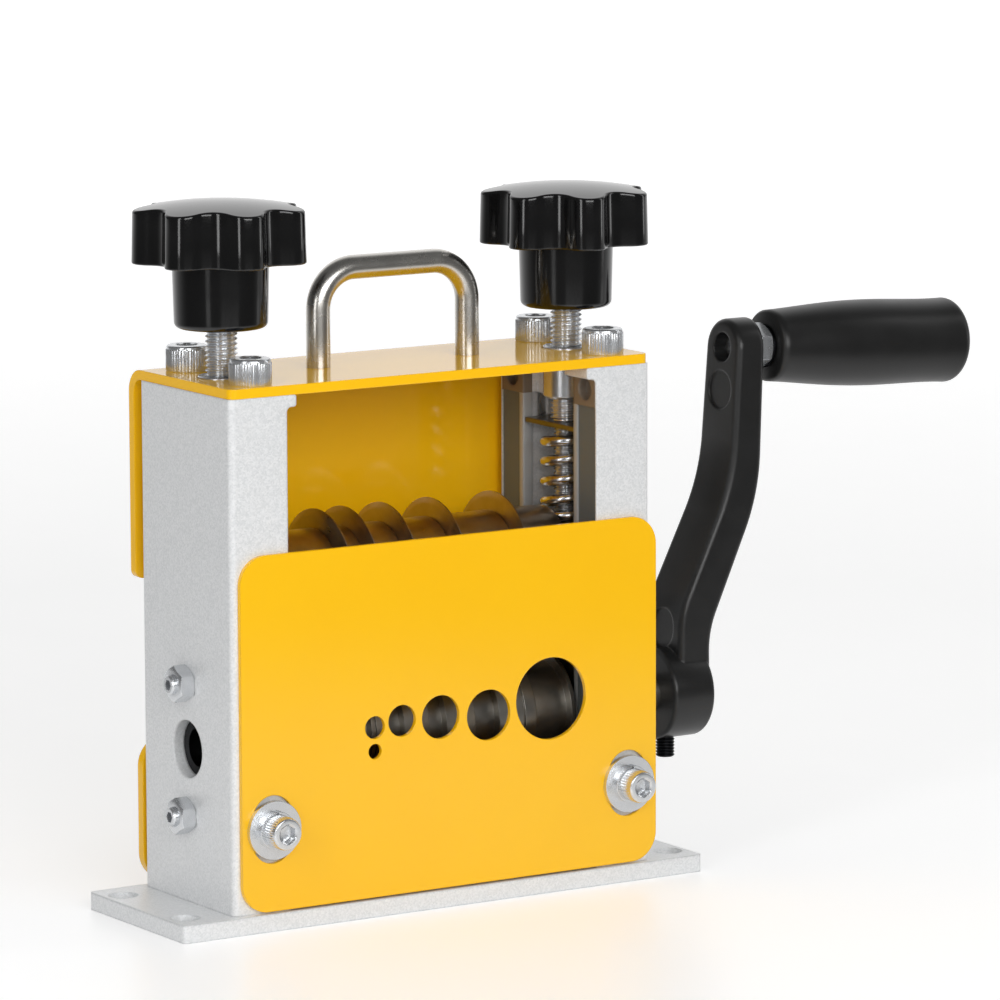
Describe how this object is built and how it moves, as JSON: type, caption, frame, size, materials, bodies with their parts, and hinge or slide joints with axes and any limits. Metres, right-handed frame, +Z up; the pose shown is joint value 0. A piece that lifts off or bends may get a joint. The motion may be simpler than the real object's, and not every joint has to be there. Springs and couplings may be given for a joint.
{
  "type": "hand crank wire stripper",
  "caption": "Bench wire stripper: two columns on a base hold a hand-cranked feed roller below sprung disc blades set by star knobs, with a drilled cable guide plate and carry handle.",
  "frame": {"origin": "centre of the underside of the base plate", "axes": "+Z up, +X towards the crank, -Y towards the cable guide plate"},
  "size_m": [0.3053, 0.0754, 0.2197],
  "materials": {
    "yellow_coat": "glossy powder coat",
    "silver_coat": "metallic silver powder coat",
    "zinc": "bright zinc plated",
    "stainless": "satin polished",
    "black_steel": "black oxide",
    "roller_steel": "turned",
    "blade_steel": "ground and hardened",
    "dark_steel": "oiled",
    "spring_steel": "bright spring steel",
    "bronze": "plain bearing bronze",
    "cast_black": "satin black painted casting",
    "black_phenolic": "glossy moulded",
    "black_grip": "satin moulded"
  },
  "bodies": {
    "frame": {"base_plate": "silver_coat", "left_column": "silver_coat", "right_column": "silver_coat", "column_base_screws": "black_steel", "top_cover": "yellow_coat", "cover_screws": "zinc", "carry_handle": "stainless", "handle_screws": "black_steel", "left_thread_bush": "zinc", "right_thread_bush": "zinc", "guide_screws": "zinc", "guide_washers": "zinc", "guide_spring_washers": "zinc", "rear_guard_plate": "yellow_coat", "rear_guard_screws": "zinc", "rear_guard_spacers": "zinc", "left_roller_block": "dark_steel", "right_roller_block": "dark_steel", "left_roller_bush": "black_steel", "right_roller_bush": "black_steel", "block_set_screws": "zinc", "block_lock_nuts": "zinc"},
    "guide_plate": {"front_guide_plate": "yellow_coat"},
    "drive": {"feed_roller": "roller_steel", "roller_shaft": "roller_steel", "roller_pin": "roller_steel", "crank_arm": "cast_black", "hub_set_screw": "black_steel", "hub_end_washer": "zinc", "hub_end_screw": "zinc", "grip_spindle": "zinc", "spindle_nut": "zinc", "spindle_washer": "black_steel"},
    "grip": {"grip_sleeve": "black_grip", "grip_end_cap": "black_grip"},
    "adjuster": {"left_spring_seat": "dark_steel", "right_spring_seat": "dark_steel", "left_spring_rod": "black_steel", "right_spring_rod": "black_steel"},
    "left_knob_screw": {"left_knob": "black_phenolic", "left_adjusting_screw": "zinc"},
    "right_knob_screw": {"right_knob": "black_phenolic", "right_adjusting_screw": "zinc"},
    "carriage": {"left_slide_block": "dark_steel", "right_slide_block": "dark_steel", "left_arbor_bush": "bronze", "right_arbor_bush": "bronze", "left_float_bolts": "black_steel", "right_float_bolts": "black_steel", "left_spring": "spring_steel", "right_spring": "spring_steel"},
    "arbor": {"blade_shaft": "blade_steel", "arbor_spacers": "blade_steel", "arbor_retaining_rings": "black_steel", "blade_1": "blade_steel", "blade_2": "blade_steel", "blade_3": "blade_steel", "blade_4": "blade_steel", "blade_5": "blade_steel"}
  },
  "joints": [
    {"name": "guide_plate_height", "type": "slide", "parent": "frame", "child": "guide_plate", "axis": [0, 0, 1], "range_m": [0, 0.007]},
    {"name": "crank_turn", "type": "hinge", "parent": "frame", "child": "drive", "pos_m": [0, 0, 0.0529], "axis": [1, 0, 0], "continuous": true},
    {"name": "grip_spin", "type": "hinge", "parent": "drive", "child": "grip", "pos_m": [0.13189, 0, 0.161], "axis": [0.999, 0, -0.0454], "continuous": true},
    {"name": "blade_depth", "type": "slide", "parent": "frame", "child": "adjuster", "axis": [0, 0, 1], "range_m": [-0.005, 0.004]},
    {"name": "left_knob_turn", "type": "hinge", "parent": "adjuster", "child": "left_knob_screw", "pos_m": [-0.0622, 0, 0.2], "axis": [0, 0, 1], "range_deg": [-1200, 960]},
    {"name": "right_knob_turn", "type": "hinge", "parent": "adjuster", "child": "right_knob_screw", "pos_m": [0.0622, 0, 0.2], "axis": [0, 0, 1], "range_deg": [-1200, 960]},
    {"name": "arbor_lift", "type": "slide", "parent": "adjuster", "child": "carriage", "axis": [0, 0, 1], "range_m": [0, 0.0028], "stiffness_N_per_m": 20000, "springref_m": -0.001, "deforming": ["left_spring", "right_spring"]},
    {"name": "blade_turn", "type": "hinge", "parent": "carriage", "child": "arbor", "pos_m": [0, 0, 0.1011], "axis": [1, 0, 0], "continuous": true}
  ],
  "couplings": [
    {"joint": "left_knob_turn", "follows": "blade_depth", "rad_per_m": 4188.8},
    {"joint": "right_knob_turn", "follows": "blade_depth", "rad_per_m": 4188.8}
  ]
}
